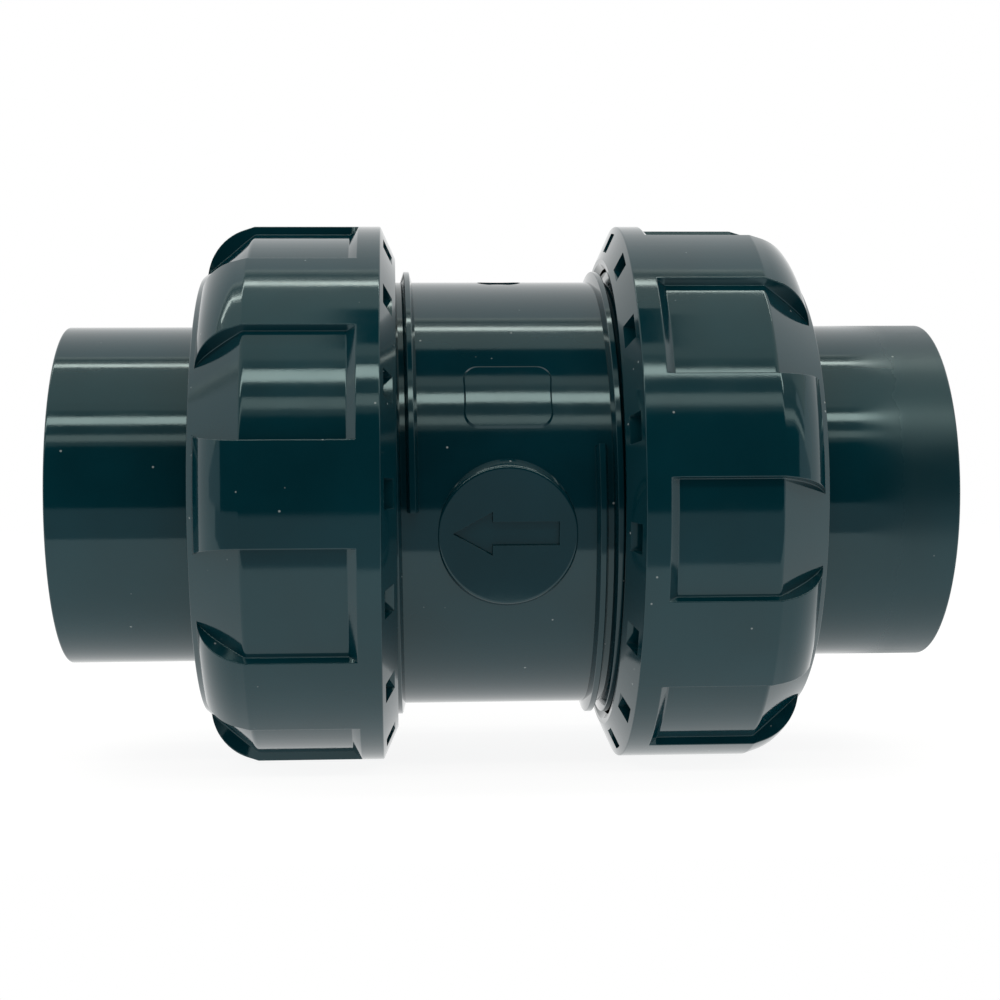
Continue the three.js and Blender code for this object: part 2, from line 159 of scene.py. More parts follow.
def rounded(corners, steps=5, support=0.07):
    """A closed path through (x, radius, fillet) corners; a fillet is an arc with a point beyond each end."""
    path = []
    for i, (x, radius, fillet) in enumerate(corners):
        here = np.array([x, radius])
        if not fillet:
            path.append(here)
            continue
        back = np.array(corners[i - 1][:2]) - here
        ahead = np.array(corners[(i + 1) % len(corners)][:2]) - here
        back, ahead = back / np.linalg.norm(back), ahead / np.linalg.norm(ahead)
        half = math.acos(np.clip(back @ ahead, -1, 1)) / 2
        reach = fillet / math.tan(half)
        centre = here + (back + ahead) / np.linalg.norm(back + ahead) * fillet / math.sin(half)
        first, last = here + back * reach - centre, here + ahead * reach - centre
        turn = math.pi - 2 * half
        path.append(centre + first + back * support)
        for t in np.arange(steps + 1) / steps:
            blended = math.sin((1 - t) * turn) * first + math.sin(t * turn) * last
            path.append(centre + blended / math.sin(turn))
        path.append(centre + last + ahead * support)
    return np.array(path)


def grid_mesh(name, points, close_columns=True):
    """A mesh from points[row, column]: rows go round a closed section, columns go along the sweep."""
    rows, columns = points.shape[:2]
    index = np.arange(rows * columns).reshape(rows, columns)
    below = np.roll(index, -1, axis=0)
    if close_columns:
        quads = np.stack([index, below, np.roll(below, -1, 1), np.roll(index, -1, 1)], -1)
        faces = quads.reshape(-1, 4).tolist()
    else:
        quads = np.stack([index[:, :-1], below[:, :-1], below[:, 1:], index[:, 1:]], -1)
        faces = quads.reshape(-1, 4).tolist() + [index[:, 0].tolist(), index[::-1, -1].tolist()]
    mesh = bpy.data.meshes.new(name)
    mesh.from_pydata((points.reshape(-1, 3) * MM).tolist(), [], faces)
    return mesh


def around(x, radius, degrees):
    """Points at (x, radius) turned about X; the angle goes from +Y towards +Z."""
    angle = np.radians(degrees)
    return np.stack([x + 0 * angle, radius * np.cos(angle), radius * np.sin(angle)], -1)


def revolve(name, path, columns=300, sharp=SHARP["plain"]):
    path = np.asarray(path)
    degrees = np.arange(columns) * 360 / columns
    points = around(path[:, :1], path[:, 1:2], degrees[None, :])
    return make_object(name, grid_mesh(name, points), sharp)


def helix(name, section, start, angle, turns):
    """A screw ridge from a closed (x, radius) section, bent into a right-handed helix."""
    section = np.asarray(section)
    steps = int(round(turns * THREAD_STEPS)) + 1
    turned = np.linspace(0, turns, steps)
    x = section[:, :1] + start + turned[None, :] * PITCH
    points = around(x, section[:, 1:2] + 0 * x, angle + 360 * turned[None, :])
    return make_object(name, grid_mesh(name, points, close_columns=False))


def side_frame(degrees, distance=0.0, x=0.0):
    """Local Z points out of the body at an angle above the side that faces -Y; local X is along the pipe."""
    angle = math.radians(degrees)
    out = Vector((0, -math.cos(angle), math.sin(angle)))
    along = Vector((1, 0, 0))
    up = out.cross(along)
    place = Matrix((along, up, out)).transposed().to_4x4()
    place.translation = (out * distance + along * x) * MM
    return place


def prism(name, rings, frame_matrix, sharp=SHARP["prism"]):
    """A solid on the body's side from rings of (outline points, height), joined ring to ring and capped."""
    points = np.array([[(x, y, height) for x, y in outline] for outline, height in rings])
    count, size = points.shape[:2]
    index = np.arange(count * size).reshape(count, size)
    beside = np.roll(index, -1, axis=1)
    faces = np.stack([index[:-1], beside[:-1], beside[1:], index[1:]], -1).reshape(-1, 4).tolist()
    faces += [index[0, ::-1].tolist(), index[-1].tolist()]
    mesh = bpy.data.meshes.new(name)
    mesh.from_pydata((points.reshape(-1, 3) * MM).tolist(), [], faces)
    mesh.transform(frame_matrix)
    return make_object(name, mesh, sharp)


def combine(base, tool, operation):
    """Joins tool into base or cuts it out of base, and removes tool."""
    step = base.modifiers.new("step", "BOOLEAN")
    step.operation = operation
    step.solver = "MANIFOLD"
    step.object = tool
    bpy.context.view_layer.update()
    evaluated = base.evaluated_get(bpy.context.evaluated_depsgraph_get())
    mesh = bpy.data.meshes.new_from_object(evaluated)
    base.modifiers.remove(step)
    old = base.data
    base.data = mesh
    bpy.data.meshes.remove(old)
    spent = tool.data
    bpy.data.objects.remove(tool)
    bpy.data.meshes.remove(spent)


def tidy_mesh(made, sharp=SHARP["plain"]):
    """Drops the slivers that a join leaves and shades the result smoothly between its real edges."""
    work = bmesh.new()
    work.from_mesh(made.data)
    bmesh.ops.dissolve_degenerate(work, dist=1e-7, edges=work.edges)
    work.to_mesh(made.data)
    work.free()
    made.data.shade_smooth()
    made.data.set_sharp_from_angle(angle=math.radians(sharp))


def true_normals(made, radii, flats):
    """Gives faces on a cylinder about X its exact normals, and flat faces theirs, for straight highlights."""
    mesh = made.data
    points = np.empty(len(mesh.vertices) * 3)
    mesh.vertices.foreach_get("co", points)
    points = points.reshape(-1, 3) / MM
    radius = np.hypot(points[:, 1], points[:, 2])
    radial = np.stack([0 * radius, points[:, 1], points[:, 2]], -1) / np.maximum(radius, 1e-9)[:, None]
    normals = np.empty(len(mesh.loops) * 3)
    mesh.corner_normals.foreach_get("vector", normals)
    normals = normals.reshape(-1, 3)
    vertex = np.empty(len(mesh.loops), int)
    mesh.loops.foreach_get("vertex_index", vertex)
    for face in mesh.polygons:
        loops = slice(face.loop_start, face.loop_start + face.loop_total)
        corners = vertex[loops]
        own = np.array(face.normal)
        for wanted in radii:
            on_cylinder = np.all(np.abs(radius[corners] - wanted) < ON_SURFACE)
            if on_cylinder and own @ radial[corners].mean(0) > 0.98:
                normals[loops] = radial[corners]
        for direction, distance in flats:
            on_plane = np.all(np.abs(points[corners] @ direction - distance) < ON_SURFACE / 3)
            if on_plane and own @ direction > 0.999:
                normals[loops] = direction
    mesh.normals_split_custom_set(normals.tolist())


def place(made, end, body, node, slot, material):
    """Turns the outlet's pieces to their end and says what each piece is in the frame."""
    if end == "outlet":
        made.data.transform(HALF_TURN)
    made.data.materials.clear()
    made.data.materials.append(material)
    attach(made, body)
    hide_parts(node)


# ---------------------------------------------------------------- materials

class Nodes:
    """A material's node tree with short calls for the nodes used here."""

    def __init__(self, name):
        self.material = bpy.data.materials.new(name)
        self.material.use_nodes = True
        self.tree = self.material.node_tree
        self.tree.nodes.clear()
        self.output = self.add("ShaderNodeOutputMaterial")
        self.coordinates = self.add("ShaderNodeTexCoord").outputs["Object"]

    def add(self, kind, **settings):
        node = self.tree.nodes.new(kind)
        for key, value in settings.items():
            setattr(node, key, value)
        return node

    def link(self, source, target):
        self.tree.links.new(source, target)

    def scaled(self, scale):
        mapping = self.add("ShaderNodeMapping")
        mapping.inputs["Scale"].default_value = scale
        self.link(self.coordinates, mapping.inputs["Vector"])
        return mapping.outputs["Vector"]

    def noise(self, scale, detail=3.0, roughness=0.5, stretch=(1, 1, 1)):
        node = self.add("ShaderNodeTexNoise")
        node.inputs["Scale"].default_value = scale
        node.inputs["Detail"].default_value = detail
        node.inputs["Roughness"].default_value = roughness
        self.link(self.scaled(stretch), node.inputs["Vector"])
        return node.outputs["Fac"]

    def ramp(self, source, low, high, first=0.0, last=1.0):
        node = self.add("ShaderNodeMapRange", clamp=True)
        self.link(source, node.inputs["Value"])
        node.inputs["From Min"].default_value = low
        node.inputs["From Max"].default_value = high
        node.inputs["To Min"].default_value = first
        node.inputs["To Max"].default_value = last
        return node.outputs["Result"]

    def mix(self, amount, first, second):
        node = self.add("ShaderNodeMix", data_type="RGBA")
        for value, socket in ((amount, node.inputs[0]), (first, node.inputs[6]), (second, node.inputs[7])):
            if isinstance(value, (int, float, tuple)):
                socket.default_value = value
            else:
                self.link(value, socket)
        return node.outputs[2]

    def math(self, operation, first, second):
        node = self.add("ShaderNodeMath", operation=operation)
        for value, socket in zip((first, second), node.inputs):
            if isinstance(value, (int, float)):
                socket.default_value = value
            else:
                self.link(value, socket)
        return node.outputs[0]

    def edges(self, radius, strongest):
        """Strongest on edges, from how far a rounded normal turns away from the surface's own."""
        bevel = self.add("ShaderNodeBevel", samples=4)
        bevel.inputs["Radius"].default_value = radius
        turned = self.add("ShaderNodeVectorMath", operation="DOT_PRODUCT")
        self.link(bevel.outputs["Normal"], turned.inputs[0])
        self.link(self.add("ShaderNodeNewGeometry").outputs["Normal"], turned.inputs[1])
        return self.ramp(turned.outputs["Value"], 0.98, 0.80, 0.0, strongest)

    def bump(self, height, distance, onto=None):
        node = self.add("ShaderNodeBump")
        node.inputs["Distance"].default_value = distance
        node.inputs["Strength"].default_value = 1.0
        self.link(height, node.inputs["Height"])
        if onto is not None:
            self.link(onto, node.inputs["Normal"])
        return node.outputs["Normal"]


def plastic(name, colour, dust_and_edge_highlight, gloss=(0.06, 0.10), tint=(0.72, 0.97, 1.0, 1.0), turned_band=False):
    """Moulded PVC: faintly mottled, uneven in gloss, with orange peel, grit and streaks, and a painted
    highlight that lightens its edges.
    """
    n = Nodes(name)
    shader = n.add("ShaderNodeBsdfPrincipled")
    shader.inputs["IOR"].default_value = 1.53
    shader.inputs["Specular Tint"].default_value = tint
    mottle = n.ramp(n.noise(45, 4), 0.3, 0.7)
    specks = n.ramp(n.noise(2600, 2, 0.6), 0.66, 0.74, 0.0, 0.5)
    # Lighter along the edges: a painted highlight standing in for the reflections on the rounded edges.
    painted_edge_highlight = n.edges(0.0003, 0.35)
    streaks = n.ramp(n.noise(300, 3, 0.6, stretch=(0.12, 1, 1)), 0.58, 0.8, 0.0, 0.25)
    darker = tuple(c * 0.82 for c in colour) + (1.0,)
    lighter = tuple(c * 1.16 for c in colour) + (1.0,)
    body = n.mix(mottle, darker, lighter)
    body = n.mix(n.math("MULTIPLY", specks, streaks), body, dust_and_edge_highlight)
    # Painted highlight: the edges take the pale dust colour.
    body = n.mix(painted_edge_highlight, body, dust_and_edge_highlight)
    grit = n.add("ShaderNodeTexVoronoi")
    grit.inputs["Scale"].default_value = 210
    n.link(n.coordinates, grit.inputs["Vector"])
    body = n.mix(n.ramp(grit.outputs["Distance"], 0.03, 0.05, 0.8, 0.0), body, (0.30, 0.33, 0.33, 1.0))
    n.link(body, shader.inputs["Base Color"])
    rough = n.ramp(n.noise(160, 4, 0.65), 0.3, 0.7, *gloss)
    rough = n.math("ADD", rough, n.math("MULTIPLY", streaks, 0.15))
    if turned_band:
        split = n.add("ShaderNodeSeparateXYZ")
        n.link(n.coordinates, split.inputs[0])
        rough = n.math("ADD", rough, n.ramp(split.outputs[0], 0.062, 0.072, 0.0, 0.24))
    n.link(rough, shader.inputs["Roughness"])
    normal = n.bump(n.noise(900, 2), 0.0000015)
    normal = n.bump(n.noise(3800, 2, 0.7), 0.0000025, onto=normal)
    if turned_band:
        wave = n.add("ShaderNodeTexWave", wave_type="BANDS", bands_direction="X")
        wave.inputs["Scale"].default_value = 300
        wave.inputs["Distortion"].default_value = 0.4
        n.link(n.coordinates, wave.inputs["Vector"])
        normal = n.bump(wave.outputs["Fac"], 0.0000012, onto=normal)
    n.link(normal, shader.inputs["Normal"])
    n.link(shader.outputs["BSDF"], n.output.inputs["Surface"])
    return n.material


def rubber(name):
    """EPDM: near black, matt, with a fine grain and a pale bloom in patches."""
    n = Nodes(name)
    shader = n.add("ShaderNodeBsdfPrincipled")
    bloom = n.ramp(n.noise(220, 5, 0.6), 0.45, 0.75, 0.0, 0.5)
    n.link(n.mix(bloom, (0.006, 0.006, 0.007, 1), (0.022, 0.022, 0.023, 1)), shader.inputs["Base Color"])
    n.link(n.ramp(n.noise(500, 3), 0.3, 0.7, 0.5, 0.72), shader.inputs["Roughness"])
    n.link(n.bump(n.noise(5200, 3, 0.7), 0.00001), shader.inputs["Normal"])
    n.link(shader.outputs["BSDF"], n.output.inputs["Surface"])
    return n.material


PVC = (0.0012, 0.0255, 0.0345)
# Darker than the PVC of the other pieces: painted shade for the barrel, which lies in shade between the nuts.
BODY_PVC_PAINTED_SHADE = (0.0012, 0.0215, 0.0300)
# Pale dust colour, also used along the edges as a painted highlight.
DUST_AND_EDGE_HIGHLIGHT = (0.030, 0.050, 0.056, 1.0)
BALL_GREY = (0.065, 0.075, 0.08)
# Pale dust colour for the ball, also used along its edges as a painted highlight.
BALL_DUST_AND_EDGE_HIGHLIGHT = (0.16, 0.17, 0.18, 1.0)
# The body takes the darker PVC, a painted shade.
shaded_body_look = plastic("body_pvc_painted_shade_look", BODY_PVC_PAINTED_SHADE, DUST_AND_EDGE_HIGHLIGHT)
nut_look = plastic("nut_pvc_look", PVC, DUST_AND_EDGE_HIGHLIGHT)
end_look = plastic("end_pvc_look", PVC, DUST_AND_EDGE_HIGHLIGHT, turned_band=True)
carrier_look = plastic("carrier_pvc_look", PVC, DUST_AND_EDGE_HIGHLIGHT)
ball_look = plastic("ball_pvc_look", BALL_GREY, BALL_DUST_AND_EDGE_HIGHLIGHT, gloss=(0.2, 0.3), tint=(1, 1, 1, 1))
rubber_look = rubber("seal_rubber_look")


# ---------------------------------------------------------------- union nuts

def wall_profile(height, fillet, draft):
    """A side wall's section as (offset, share of the height), from the floor up to the top."""
    steps = np.radians([0, 24, 46, 66, 83])
    low = [(fillet * (math.sin(a) - 1), fillet * (1 - math.cos(a)) / height) for a in steps]
    high = [(draft + fillet * (1 - math.sin(a)), 1 - fillet * (1 - math.cos(a)) / height) for a in steps]
    return [(low[0][0] - 0.1, 0.0), *low, *high[::-1], (high[0][0] + 0.1, 1.0)]


def lobe_top(x):
    """A lobe's outer radius: level, then a short slope, then an arc down to its end."""
    if x < LOBE_SLOPE_X:
        return NUT_R
    if x < LOBE_SLOPE_X + LOBE_SLOPE_LENGTH:
        return NUT_R - (x - LOBE_SLOPE_X) * math.tan(LOBE_SLOPE)
    centre = NUT_R - LOBE_SLOPE_LENGTH * math.tan(LOBE_SLOPE) - LOBE_ROUNDING * math.cos(LOBE_SLOPE)
    return centre + math.sqrt(max(0.0, LOBE_ROUNDING ** 2 - (x - LOBE_ARC_X) ** 2))


def lobe_flare(x, radius):
    """Degrees by which a lobe's side spreads where its top has dropped: its sides are nearly parallel."""
    top = max(lobe_top(x), CONE_END_R)
    half_width = NUT_R * math.sin(math.radians(LOBE_DEGREES / 2)) + LOBE_DRAFT * (NUT_R - top)
    flare = math.degrees(math.asin(half_width / top)) - LOBE_DEGREES / 2
    return flare * min(1.0, max(0.0, (radius - NUT_HOLE) / (CONE_END_R - NUT_HOLE)))


def nut_section():
    """The nut's section in a window, through a lobe and through a mouth pocket, with matching points."""
    rim_in, rim_out = NUT_BORE + 1.0, NUT_BORE + 1.9
    collar = NUT_MOUTH + NUT_COLLAR
    shoulder = NUT_END - SHOULDER
    cone = NUT_END - CONE_LENGTH
    pocket_low, pocket_high = POCKET_R

    def on_chamfer(radius):
        return (NUT_MOUTH + NUT_COLLAR * (radius - rim_out) / (NUT_R - rim_out), radius, 0)

    def on_cone(x):
        return (x, WINDOW_R - (WINDOW_R - CONE_END_R) * (x - cone) / CONE_LENGTH, 0)

    # Closer together towards the end, where a lobe falls away steeply.
    arc_steps = np.radians([18, 22, 27, 32, 37, 43, 49, 55, 61, 66, 71, 75, 79, 82.5, 85.5, 88, 90])
    corners = [
        (NUT_MOUTH + 1.0, NUT_BORE, 0.2),
        (NUT_MOUTH, rim_in, 0.15),
        (NUT_MOUTH, rim_out, 0.2),
        on_chamfer(pocket_low - 0.06),
        on_chamfer(pocket_low),
        on_chamfer(pocket_low + 0.06),
        on_chamfer(pocket_high - 0.06),
        on_chamfer(pocket_high),
        on_chamfer(pocket_high + 0.06),
        (collar, NUT_R, 0.3),
        (collar + WINDOW_START, NUT_R, 0.3),
        (collar + WINDOW_START + WINDOW_SLOPE, WINDOW_R, 0.3),
        *[(x, WINDOW_R, 0) for x in np.linspace(collar + 8, cone - 1, 5)],
        (cone, WINDOW_R, 1.2),
        *[on_cone(x) for x in (cone + 0.8, cone + 1.4, cone + 1.9)],
        *[on_cone(LOBE_ARC_X + LOBE_ROUNDING * math.sin(a)) for a in arc_steps],
        (NUT_END, CONE_END_R, 0.5),
        (NUT_END, NUT_HOLE, 0.4),
        (shoulder, NUT_HOLE, 0.2),
        (shoulder, NUT_BORE, 0.4),
    ]
    window = rounded(corners)
    lobe, pocket = window.copy(), window.copy()
    for i, (x, radius) in enumerate(window):
        on_outside = radius > NUT_BORE or (x > shoulder + 0.1 and radius > CONE_END_R)
        if on_outside and collar + WINDOW_START - 0.1 < x <= LOBE_ARC_X + LOBE_ROUNDING:
            lobe[i, 1] = max(radius, lobe_top(x))
        if pocket_low < radius < pocket_high and x < collar:
            pocket[i] = (NUT_MOUTH + POCKET_DEPTH, min(POCKET_R, key=lambda edge: abs(edge - radius)))
    return window, lobe, pocket


def nut_columns(phase):
    """Angles round the nut, with each one's share of lobe and of pocket."""
    columns = {}
    wall_middle, pocket_middle = 49.0, sum(POCKET_R) / 2
    per_mm = math.degrees(1 / wall_middle)
    depth, fillet = NUT_R - WINDOW_R, 0.15
    draft = LOBE_DRAFT * depth
    walls = [(offset - draft, share) for offset, share in wall_profile(depth, fillet, draft)]
    for k in range(2 * LOBES):
        centre = phase + k * 180 / LOBES
        on_lobe = k % 2 == 0
        for side in (-1, 1):
            for offset, share in ((-0.12, 0.0), (-0.02, 0.0), (0.02, 1.0), (0.12, 1.0)):
                turn = math.degrees((POCKET_HALF_WIDTH - offset) / pocket_middle)
                columns[centre + side * turn] = (float(on_lobe), share)
            if on_lobe:
                for offset, share in walls:
                    columns[centre + side * (LOBE_DEGREES / 2 - offset * per_mm)] = (share, 0.0)
        columns[centre] = (float(on_lobe), 1.0)
    degrees = sorted(columns)
    filled = {}
    for here, ahead in zip(degrees, degrees[1:] + [degrees[0] + 360]):
        filled[here] = columns[here]
        parts = max(1, math.ceil((ahead - here) / WIDEST_COLUMN))
        after = columns[ahead if ahead in columns else degrees[0]]
        between = tuple(min(a, b) for a, b in zip(columns[here], after))
        for step in range(1, parts):
            filled[here + (ahead - here) * step / parts] = between
    return filled


def nut_points(end):
    """The nut's surface as points[row round the section, column round the axis]."""
    window, lobe, pocket = nut_section()
    columns = nut_columns(LOBE_PHASE[end])
    degrees = np.array(sorted(columns))
    share = np.array([columns[d] for d in degrees])
    pitch = 360 / LOBES
    from_lobe = (degrees - LOBE_PHASE[end] + pitch / 2) % pitch - pitch / 2
    wall, near_wall = LOBE_DEGREES / 2, 0.9
    inside = np.abs(from_lobe) / (wall - near_wall)
    outside = (pitch / 2 - np.abs(from_lobe)) / (pitch / 2 - wall - near_wall)
    lean = np.sign(from_lobe) * np.minimum(1.0, np.minimum(inside, outside))
    flare = np.array([lobe_flare(x, radius) for x, radius in window])
    section = (window[:, None, :] + (lobe - window)[:, None, :] * share[None, :, :1]
               + (pocket - window)[:, None, :] * share[None, :, 1:])
    return around(section[..., 0], section[..., 1], degrees[None, :] + flare[:, None] * lean[None, :])


def union_nut(name, end):
    nut = make_object(name, grid_mesh(name, nut_points(end)), SHARP["nut"])
    first = THREAD_START[end][0] + PITCH / 2
    start = first + PITCH * math.ceil((NUT_MOUTH + 2.5 - first) / PITCH)
    crest, root, turns = 40.32, NUT_BORE + 1, 3
    thread = rounded([(-1.08, root, 0), (-0.26, crest, 0.12), (0.26, crest, 0.12), (1.08, root, 0)], steps=3)
    combine(nut, helix("nut_thread", thread, start, THREAD_START[end][1], turns), "UNION")
    tidy_mesh(nut, SHARP["nut"])
    return nut


# ---------------------------------------------------------------- valve body

def disc_rings(radii_heights, count=180):
    """A round prism's rings from (radius, height) pairs."""
    turn = np.linspace(0, 2 * math.pi, count, endpoint=False)
    return [([(r * math.cos(t), r * math.sin(t)) for t in turn], h) for r, h in radii_heights]


def rounded_rectangle(half_x, half_y, corner, steps=8):
    points = []
    for quarter, (cx, cy) in enumerate([(1, 1), (-1, 1), (-1, -1), (1, -1)]):
        for k in range(steps + 1):
            angle = (quarter + k / steps) * math.pi / 2
            along, across = corner * math.cos(angle), corner * math.sin(angle)
            points.append((cx * (half_x - corner) + along, cy * (half_y - corner) + across))
    return points


def arrow_outline(grow):
    """The arrow, pointing to -X, with its outline moved outwards by grow."""
    tip, head, tail, head_half, shaft_half = -9.85, -3.0, 8.4, 3.85, 2.1
    slope = math.hypot(head - tip, head_half)
    lead = grow * slope / head_half
    wide = head_half + grow * head_half / (head - tip) + grow * slope / (head - tip)
    shaft = shaft_half + grow
    return [(tip - lead, 0), (head + grow, -wide), (head + grow, -shaft), (tail + grow, -shaft),
            (tail + grow, shaft), (head + grow, shaft), (head + grow, wide)]


def cage_rib(degrees):
    """A rib that guides the ball and ends in a stop shaped like the ball."""
    guide, stop, start, chamfer = BALL_R + 0.5, 12.0, 12.0, 0.4
    ball_open, back = BALL_X - BALL_TRAVEL, 1.3 - BODY_END
    foot = CHAMBER_R + 1
    last = math.pi - math.asin(stop / guide)
    arc = [(ball_open + guide * math.cos(a), guide * math.sin(a)) for a in np.linspace(math.pi / 2, last, 24)]
    mouth = [(start, foot), (start, guide + chamfer), (start - chamfer, guide)]
    outline = [*mouth, *arc, (back, stop), (back, foot)]
    rings = [(outline, -RIB_HALF), (outline, RIB_HALF)]
    turn = Matrix.Rotation(math.radians(degrees), 4, "X") @ Matrix.Rotation(math.pi / 2, 4, "X")
    return prism("rib", rings, turn)


def body_section():
    """The body's section: seal grooves in both ends, the seat's bore, the chamber and the outlet."""
    groove_out, groove_in, groove_x = BODY_R - 1.9, BODY_R - 5.3, BODY_END - 2.65
    half = [(BODY_END, BODY_R, 0.35), (BODY_END, groove_out, 0.15), (groove_x, groove_out, 0.2),
            (groove_x, groove_in, 0.2), (BODY_END, groove_in, 0.15)]
    mirrored = [(-x, r, f) for x, r, f in half][::-1]
    cone_wide, cone_narrow = 18.0 - BODY_END, 1.0 - BODY_END
    return rounded([*half, (BODY_END, BORE_R, 0.3), (SEAT_STEP_X, BORE_R, 0.2), (SEAT_STEP_X, CHAMBER_R, 0.3),
                    (cone_wide, CHAMBER_R, 2.0), (cone_narrow, WATER_R, 0.6), (-BODY_END, WATER_R, 0.3),
                    *mirrored], steps=4)


def add_threads(body):
    foot, crest = 1.33, 0.5
    ridge = rounded([(-foot, BODY_SKIN, 0), (-crest, THREAD_CREST, 0.16), (crest, THREAD_CREST, 0.16),
                     (foot, BODY_SKIN, 0)], steps=3)
    for end in ("inlet", "outlet"):
        thread = helix("thread", ridge, *THREAD_START[end])
        if end == "outlet":
            thread.data.transform(HALF_TURN)
        combine(body, thread, "UNION")


def add_boss(body):
    """The round flat with the flow arrow sunk into it."""
    rim = [(1.5, -4), (0.17, -0.45), (0.08, -0.28), (-0.03, -0.14), (-0.19, -0.04), (-0.39, 0)]
    rim = disc_rings([(BOSS_R + grow, BOSS_FLAT + height) for grow, height in rim])
    combine(body, prism("boss", rim, side_frame(BOSS_DEGREES, 0, BOSS_X)), "UNION")
    arrow = ((-0.15, -0.8), (-0.08, -0.12), (0.0, 0.0), (0.1, 0.6))
    arrow = [(arrow_outline(grow), height) for grow, height in arrow]
    combine(body, prism("arrow", arrow, side_frame(ARROW_DEGREES, BOSS_FLAT)), "DIFFERENCE")


def add_panel(body):
    """The thin raised panel, curved like the body, with sloping edges."""
    half_x = 15
    skin = [(-half_x, BODY_SKIN), (half_x, BODY_SKIN), (half_x, PANEL_R), (-half_x, PANEL_R)]
    skin = revolve("skin", skin, 360)
    block = [(rounded_rectangle(10.35, 8.35, 4.3), 37.0), (rounded_rectangle(6.35, 4.35, 1.8), 41.0)]
    combine(skin, prism("block", block, side_frame(PANEL_DEGREES, 0, PANEL_X)), "INTERSECT")
    combine(body, skin, "UNION")


def valve_body():
    body = revolve("valve_body_moulding", body_section(), 360)
    add_threads(body)
    add_boss(body)
    add_panel(body)
    dimple = [(3.7, -0.5), (4.0, -0.42), (4.1, 1.0)]
    combine(body, prism("dimple", disc_rings(dimple, 96), side_frame(DIMPLE_DEGREES, BODY_R)), "DIFFERENCE")
    for k in range(RIBS):
        combine(body, cage_rib((k + 0.5) * 360 / RIBS), "UNION")
    tidy_mesh(body, SHARP["body"])
    boss_out = np.array(side_frame(BOSS_DEGREES).col[2][:3])
    true_normals(body, (BODY_R, PANEL_R, THREAD_CREST), ((boss_out, BOSS_FLAT),))
    return body


# ---------------------------------------------------------------- the other pieces

def end_connector(name):
    back, bottom = FLANGE_FACE + FLANGE_THICKNESS, TAIL_END - SOCKET_DEPTH
    narrow, wide = SOCKET_R
    lead_in = 1.0
    path = rounded([(FLANGE_FACE, WATER_R, 0.4), (FLANGE_FACE, FLANGE_R, 0.4), (back, FLANGE_R, 0.5),
                    (back, HUB_R, 0.3), (TAIL_END, HUB_R, 0.4), (TAIL_END, wide + lead_in, 0.15),
                    (TAIL_END - lead_in, wide, 0.3), (bottom, narrow, 0.3), (bottom, WATER_R, 0.4)])
    return revolve(name, path)


def seat_ring():
    slope = math.acos(CONTACT_R / BALL_R)
    along = np.array([math.cos(slope), -math.sin(slope)])
    inner, outer = [np.array([SEAT_IN + 2, CONTACT_R]) + reach * along for reach in (1.8, -2.2)]
    dish, dish_r = SEAT_IN + 4 / 3, 29.0
    path = rounded([(SEAT_OUT, SEAT_FIT_R, 0.3), (SEAT_IN, SEAT_FIT_R, 0.3), (SEAT_IN, dish_r, 0.25),
                    (dish, dish_r - 1, 0.25), (dish, outer[1] + 2, 0.3), (outer[0], outer[1] + 1, 0.2),
                    (*outer, 0.2), (*inner, 0.15), (SEAT_OUT, inner[1], 0.2)])
    return revolve("seat_elastomer", path, 240)


def seat_carrier():
    groove, groove_end = [CARRIER_IN + wall for wall in CARRIER_GROOVE]
    groove_r, mouth_r = 30.3, 18.5
    path = rounded([(CARRIER_IN, mouth_r, 0.5), (CARRIER_IN, SEAT_FIT_R, 0.4), (groove, SEAT_FIT_R, 0.15),
                    (groove, groove_r, 0.15), (groove_end, groove_r, 0.15), (groove_end, SEAT_FIT_R, 0.15),
                    (CARRIER_OUT, SEAT_FIT_R, 0.5), (CARRIER_OUT, WATER_R, 0.6)])
    carrier = revolve("seat_carrier_ring", path, 240)
    half_width, half_length, depth = 3.0, 42, 4.0
    outline = rounded_rectangle(half_width, half_length, 0.4, 3)
    turn = Matrix.Translation((CARRIER_OUT * MM, 0, 0)) @ Matrix.Rotation(math.pi / 2, 4, "Y")
    slot = prism("slot", [(outline, -depth), (outline, depth)], turn)
    combine(carrier, slot, "DIFFERENCE")
    tidy_mesh(carrier)
    return carrier


def o_ring(name, x, radius, section):
    """A moulded ring with its fine parting line."""
    flash = 0.03
    turn = np.radians(np.arange(0, 360, 15))
    size = section / 2 + flash * (np.abs(np.cos(turn)) < 0.01)
    path = np.stack([x + size * np.sin(turn), radius + size * np.cos(turn)], -1)
    return revolve(name, path, 240, SHARP["ring"])


def ball():
    """The closing ball with its fine mould line and a small flat at each pole."""
    pole, flash, columns = 4.0, 0.02, 160
    mould_line = [89.4, 89.8, 90.2, 90.6]
    turn = [[pole], np.arange(6, 90, 3), mould_line, np.arange(93, 176, 3), [180 - pole]]
    turn = np.radians(np.concatenate(turn))
    size = BALL_R - flash + flash * (np.abs(turn - math.pi / 2) < 0.006)
    along, out = BALL_X - size * np.cos(turn), size * np.sin(turn)
    path = np.stack([along, out], -1)
    degrees = np.arange(columns) * 360 / columns
    points = around(path[:, :1], path[:, 1:2], degrees[None, :])
    rows = len(path)
    index = np.arange(rows * columns).reshape(rows, columns)
    beside = np.roll(index, -1, 1)
    faces = np.stack([index[:-1], index[1:], beside[1:], beside[:-1]], -1).reshape(-1, 4).tolist()
    faces += [index[0].tolist(), index[-1, ::-1].tolist()]
    mesh = bpy.data.meshes.new("ball")
    mesh.from_pydata((points.reshape(-1, 3) * MM).tolist(), [], faces)
    return make_object("closing_ball", mesh, SHARP["ball"])


